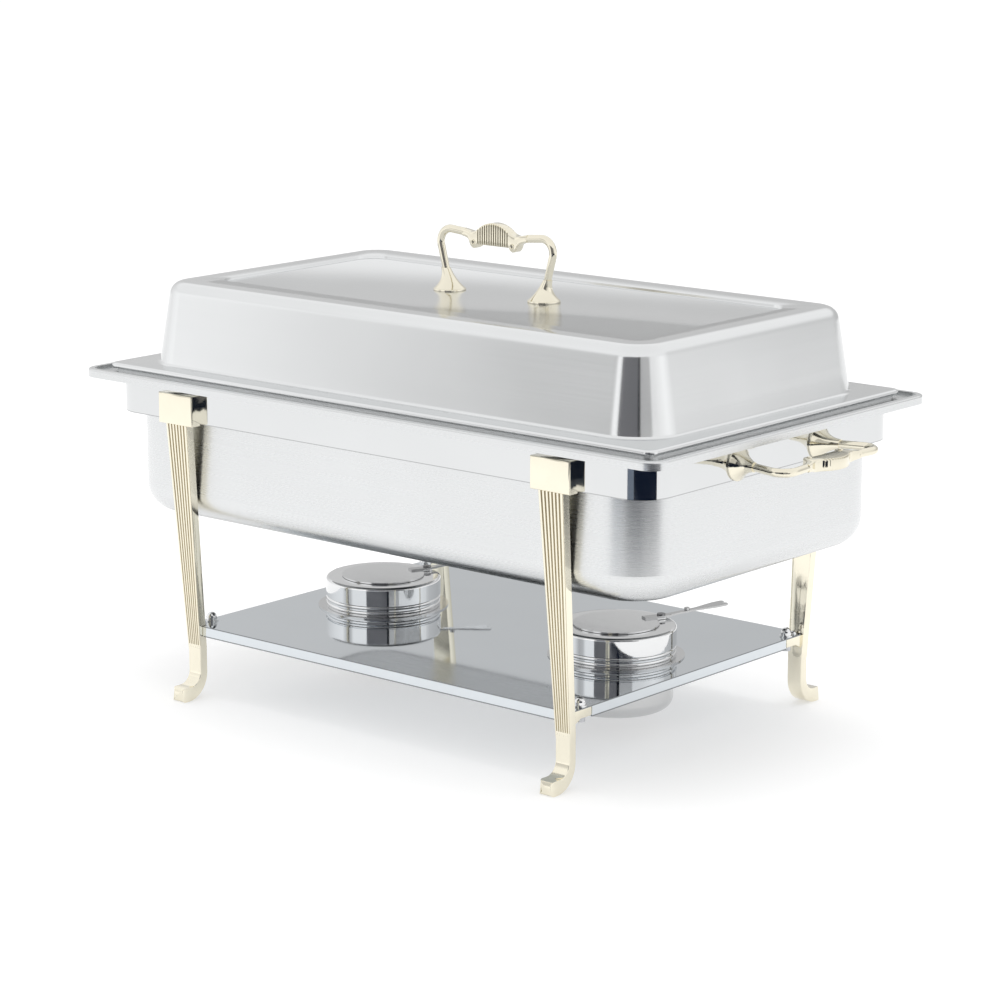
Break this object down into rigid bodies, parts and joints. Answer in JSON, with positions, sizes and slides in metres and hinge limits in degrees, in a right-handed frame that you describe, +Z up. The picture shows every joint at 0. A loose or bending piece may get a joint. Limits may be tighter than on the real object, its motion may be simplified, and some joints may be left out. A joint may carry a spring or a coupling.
{
  "type": "lift-off cover chafer",
  "caption": "Rectangular buffet chafer: fluted-leg stand with shelf, water pan, food pan, lift-off domed cover with cast handle, end handles and fuel holders with swing dampers.",
  "frame": {"origin": "on the resting plane under the middle of the stand", "axes": "+Z up, -Y is the front, +X the right end, X is the long way"},
  "size_m": [0.6898, 0.362, 0.4035],
  "materials": {
    "band_steel": "mirror-polished stainless sheet",
    "shelf_steel": "mirror-polished stainless sheet",
    "leg_brass": "polished pale champagne brass casting, fluted face",
    "handle_brass": "polished pale champagne brass casting",
    "washer_steel": "plain steel",
    "screw_steel": "plain steel",
    "nut_chrome": "bright plated",
    "water_pan_steel": "polished stainless sheet, outside finely polished",
    "food_pan_steel": "satin stainless sheet",
    "cover_steel": "finely polished stainless sheet",
    "cup_steel": "polished stainless sheet",
    "hood_steel": "polished stainless sheet",
    "disc_steel": "finely polished stainless sheet",
    "lever_steel": "polished stainless strip",
    "rivet_dark": "darkened steel"
  },
  "bodies": {
    "stand": {"support_band": "band_steel", "leg_front_left": "leg_brass", "leg_front_right": "leg_brass", "leg_rear_left": "leg_brass", "leg_rear_right": "leg_brass", "leg_backing_plates": "washer_steel", "leg_screws": "screw_steel", "shelf": "shelf_steel", "shelf_screws": "screw_steel", "shelf_cap_nuts": "nut_chrome", "shelf_pins": "nut_chrome", "end_handle_left": "handle_brass", "end_handle_right": "handle_brass", "end_handle_screws": "screw_steel", "end_handle_washers": "washer_steel"},
    "water_pan_body": {"water_pan": "water_pan_steel"},
    "food_pan_body": {"food_pan": "food_pan_steel"},
    "cover": {"cover_shell": "cover_steel", "cover_handle": "handle_brass", "cover_handle_screws": "screw_steel", "cover_handle_washers": "washer_steel"},
    "fuel_cup_body_left": {"fuel_cup_left": "cup_steel"},
    "fuel_hood_body_left": {"fuel_hood_left": "hood_steel", "damper_rivet_left": "rivet_dark"},
    "damper_left": {"damper_disc_left": "disc_steel", "damper_lever_left": "lever_steel"},
    "fuel_cup_body_right": {"fuel_cup_right": "cup_steel"},
    "fuel_hood_body_right": {"fuel_hood_right": "hood_steel", "damper_rivet_right": "rivet_dark"},
    "damper_right": {"damper_disc_right": "disc_steel", "damper_lever_right": "lever_steel"}
  },
  "joints": [
    {"name": "water_pan_lift", "type": "slide", "parent": "stand", "child": "water_pan_body", "axis": [0, 0, 1], "range_m": [0, 0.2]},
    {"name": "food_pan_lift", "type": "slide", "parent": "water_pan_body", "child": "food_pan_body", "axis": [0, 0, 1], "range_m": [0, 0.15]},
    {"name": "cover_lift", "type": "slide", "parent": "food_pan_body", "child": "cover", "axis": [0, 0, 1], "range_m": [0, 0.25]},
    {"name": "fuel_cup_lift_left", "type": "slide", "parent": "stand", "child": "fuel_cup_body_left", "axis": [0, 0, 1], "range_m": [0, 0.03]},
    {"name": "fuel_hood_lift_left", "type": "slide", "parent": "fuel_cup_body_left", "child": "fuel_hood_body_left", "axis": [0, 0, 1], "range_m": [0, 0.02]},
    {"name": "damper_swing_left", "type": "hinge", "parent": "fuel_hood_body_left", "child": "damper_left", "pos_m": [-0.11017, 0.03716, 0.0895], "axis": [0, 0, 1], "range_deg": [-100, 0]},
    {"name": "fuel_cup_lift_right", "type": "slide", "parent": "stand", "child": "fuel_cup_body_right", "axis": [0, 0, 1], "range_m": [0, 0.03]},
    {"name": "fuel_hood_lift_right", "type": "slide", "parent": "fuel_cup_body_right", "child": "fuel_hood_body_right", "axis": [0, 0, 1], "range_m": [0, 0.02]},
    {"name": "damper_swing_right", "type": "hinge", "parent": "fuel_hood_body_right", "child": "damper_right", "pos_m": [0.14483, 0.03716, 0.0895], "axis": [0, 0, 1], "range_deg": [-100, 0]}
  ]
}
